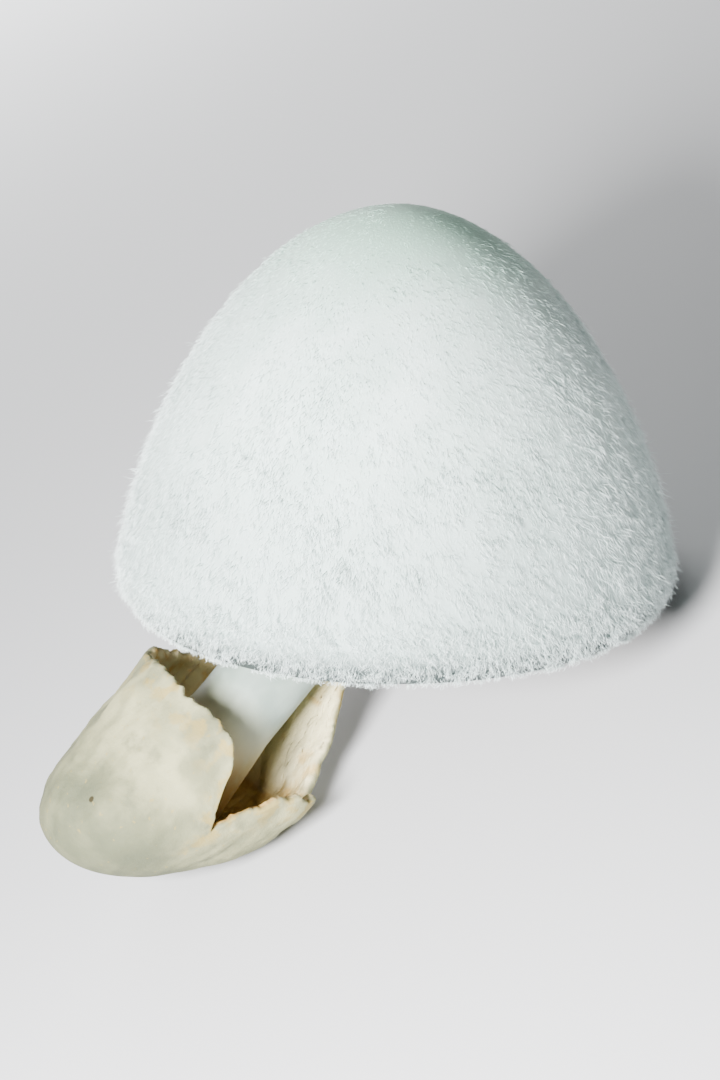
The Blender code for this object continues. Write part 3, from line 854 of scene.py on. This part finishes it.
def hair_spikes(name, hairs, joints, thickness):
    """One mesh of closed three-sided spikes, each turned about its own length by chance."""
    spine, out, share = hairs
    count = len(spine)
    along_hair = unit(spine[:, -1] - spine[:, 0])
    across = unit(np.cross(along_hair, out))
    over = np.cross(along_hair, across)
    roll = rng.random(count) * math.tau
    thin, thick = thickness
    half = (thin + (thick - thin) * rng.random(count) ** MOSTLY_THIN) / 2
    corners = []
    for row, part in enumerate(joints[:-1]):
        for corner in range(HAIR_SIDES):
            turn = roll + corner * math.tau / HAIR_SIDES
            around = across * np.cos(turn)[:, None] + over * np.sin(turn)[:, None]
            corners.append(spine[:, row] + around * (half * (1 - HAIR_NARROWS * part))[:, None])
    corners.append(spine[:, -1])
    points = placed(cap_place, np.stack(corners, axis=1).reshape(-1, 3))
    points[:, 2] = np.maximum(points[:, 2], FLOOR_CLEARANCE)
    starts = np.arange(count)[:, None, None] * len(corners)
    faces = (starts + np.array(hair_triangles(joints))[None]).reshape(-1, 3)
    mesh = bpy.data.meshes.new(name)
    mesh.vertices.add(len(points))
    mesh.vertices.foreach_set("co", points.ravel())
    mesh.loops.add(faces.size)
    mesh.loops.foreach_set("vertex_index", faces.ravel())
    mesh.polygons.add(len(faces))
    mesh.polygons.foreach_set("loop_start", np.arange(0, faces.size, 3))
    mesh.polygons.foreach_set("use_smooth", np.ones(len(faces), dtype=bool))
    along = np.tile(np.append(np.repeat(joints[:-1], HAIR_SIDES), 1.0), count)
    tone = np.repeat(rng.random(count), len(corners))
    down = np.repeat(share, len(corners))
    put_values(mesh, {"along": along, "tone": tone, "down": down})
    mesh.update()
    mesh.validate()
    mesh.materials.append(hair_white)
    piece = linked(name, mesh)
    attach(piece, "root")


HAIR_TIP = (0.86, 0.97, 0.95)
HAIR_ROOT_SHADE_AND_TONE = (0.46, 0.58, 0.555)
HAIR_MINT = (0.43, 0.71, 0.57)
ROOT_SHADE_ALONG = (0.0, 0.6)
TONE_VARIES = 0.35
CROWN_DOWN, CROWN_SHARE = (0.50, 0.10), 0.90

hair_white, tree, shader = finish("hair_silk", roughness=0.28, specular=0.8)
# Painted shade at the roots: each hair darkens towards the skin, where the hairs shade one another. The
# same dark colour also tones some hairs at random.
colour = blend(tree, ramp(tree, value_of(tree, "along"), ROOT_SHADE_ALONG), HAIR_ROOT_SHADE_AND_TONE, HAIR_TIP)
tone = node(tree, "ShaderNodeMapRange", {0: value_of(tree, "tone"), 3: 0.0, 4: TONE_VARIES}).outputs[0]
colour = blend(tree, tone, colour, HAIR_ROOT_SHADE_AND_TONE)
crown = ramp(tree, value_of(tree, "down"), CROWN_DOWN)
colour = blend(tree, product(tree, crown, CROWN_SHARE), colour, HAIR_MINT)
tree.links.new(colour, shader.inputs["Base Color"])

for number in (1, 2):
    silk = locks(count=6000, each=6, first=0.0, last=0.92, thin_top=0.15, length_scale=1.0, lift_scale=1.0,
                 curl=0.08, drawn=0.28, joints=STRAIGHT)
    hair_spikes(f"cap_silk_{number}", silk, STRAIGHT, HAIR_THICKNESS)
for number in (1, 2):
    shag = locks(count=2600, each=6, first=0.22, last=0.90, thin_top=0.5, length_scale=1.15, lift_scale=2.1,
                 curl=0.12, drawn=0.35, joints=BENT)
    hair_spikes(f"cap_shag_{number}", shag, BENT, HAIR_THICKNESS)
fringe = locks(count=2600, each=6, first=0.79, last=1.0, thin_top=0.0, length_scale=0.95, lift_scale=2.2,
               curl=0.40, drawn=0.55, joints=BENT)
hair_spikes("margin_fringe", fringe, BENT, FRINGE_THICKNESS)


# Table and light
# A plain pale table under soft studio light: a key light near the camera, a little to its left, a wide
# one behind the mushroom, and a dim even sky.
TABLE_SIZE = 6.0
TABLE_GREY = (0.52, 0.53, 0.54, 1.0)
bpy.ops.mesh.primitive_plane_add(size=TABLE_SIZE, location=(0.0, 0.0, 0.0))
table = bpy.context.active_object
table.name = "table"
table_finish, tree, shader = finish("pale_table", roughness=0.9, specular=0.1)
shader.inputs["Base Color"].default_value = TABLE_GREY
table.data.materials.append(table_finish)

CAMERA_RISE = math.radians(17.8)
CAMERA_TURN = math.radians(-118.1)
CAMERA_DISTANCE = 350.0 * MM
FRAME_HEIGHT = 136.19 * MM
FRAME_RIGHT = -4.48 * MM
FRAME_UP = 7.13 * MM
SENSOR_WIDTH = 36.0
cap_turn = cap_place.to_3x3()
towards = cap_turn @ Vector((math.cos(CAMERA_RISE) * math.cos(CAMERA_TURN),
                             math.cos(CAMERA_RISE) * math.sin(CAMERA_TURN), math.sin(CAMERA_RISE)))
right = cap_turn @ Vector((-math.sin(CAMERA_TURN), math.cos(CAMERA_TURN), 0.0))
up = towards.cross(right)
aim = CAP_PLACE + right * FRAME_RIGHT + up * FRAME_UP


def area_light(name, place, size, power, colour):
    """A round light that faces the cap."""
    lamp = bpy.data.lights.new(name, "AREA")
    lamp.shape = "DISK"
    lamp.size = size
    lamp.energy = power
    lamp.color = colour
    light = bpy.data.objects.new(name, lamp)
    light.location = place
    light.rotation_euler = (place - CAP_PLACE).to_track_quat("Z", "Y").to_euler()
    bpy.context.scene.collection.objects.link(light)


KEY_LEFT = 0.46
KEY_DOWN = 0.12
KEY_DISTANCE = 0.27
KEY_WHITE = (1.0, 0.98, 0.98)
BACK_RISE = 0.30
BACK_DISTANCE = 0.45
BACK_WHITE = (1.0, 1.0, 1.0)
SKY_WHITE = (0.98, 0.99, 1.0, 1.0)
SKY_STRENGTH = 0.20
key_side = (towards - KEY_LEFT * right - KEY_DOWN * up).normalized()
back_side = Vector((-towards.x, -towards.y, BACK_RISE)).normalized()
area_light("key", CAP_PLACE + key_side * KEY_DISTANCE, size=0.09, power=4.9, colour=KEY_WHITE)
area_light("back", CAP_PLACE + back_side * BACK_DISTANCE, size=0.30, power=2.9, colour=BACK_WHITE)
world = bpy.data.worlds.new("studio")
world.use_nodes = True
world.node_tree.nodes["Background"].inputs["Color"].default_value = SKY_WHITE
world.node_tree.nodes["Background"].inputs["Strength"].default_value = SKY_STRENGTH
bpy.context.scene.world = world

lens = bpy.data.cameras.new("camera")
lens.sensor_width = SENSOR_WIDTH
lens.lens = lens.sensor_width * CAMERA_DISTANCE / FRAME_HEIGHT
camera = bpy.data.objects.new("camera", lens)
place = aim + towards * CAMERA_DISTANCE
camera.matrix_world = Matrix((
    (right.x, up.x, towards.x, place.x),
    (right.y, up.y, towards.y, place.y),
    (right.z, up.z, towards.z, place.z),
    (0.0, 0.0, 0.0, 1.0),
))
bpy.context.scene.collection.objects.link(camera)
bpy.context.scene.camera = camera
